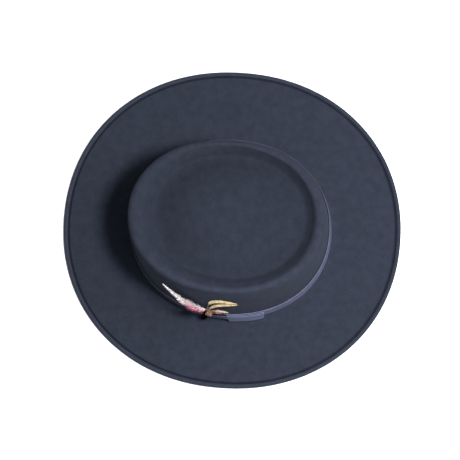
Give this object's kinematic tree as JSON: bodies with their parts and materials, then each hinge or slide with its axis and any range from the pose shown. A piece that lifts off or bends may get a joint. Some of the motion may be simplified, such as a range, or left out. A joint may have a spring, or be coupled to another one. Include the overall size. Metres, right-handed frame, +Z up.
{
  "type": "hat",
  "caption": "Wide flat-brimmed wool felt hat with an oval telescope crown, a ribbon band tied in a flat bow, and a feather trim.",
  "frame": {"origin": "Middle of the flat underside of the brim, which rests on z = 0", "axes": "+Z up through the crown, -Y to the front of the hat, +Y to the back, +X to the wearer's left, where the bow is"},
  "size_m": [0.3246, 0.342, 0.092],
  "materials": {
    "wool_felt": "matte brushed wool felt",
    "ribbon": "ribbed grosgrain with a low sheen",
    "plume": "fluffy feather barbs",
    "gold_feather": "smooth feather vane",
    "binding": "wound thread"
  },
  "bodies": {
    "root": {"felt_body": "wool_felt", "hat_band": "ribbon", "bow_loop": "ribbon", "bow_tail": "ribbon", "plume_white": "plume", "feather_gold_upper": "gold_feather", "feather_gold_lower": "gold_feather", "feather_stub": "gold_feather", "feather_binding": "binding"}
  },
  "joints": []
}
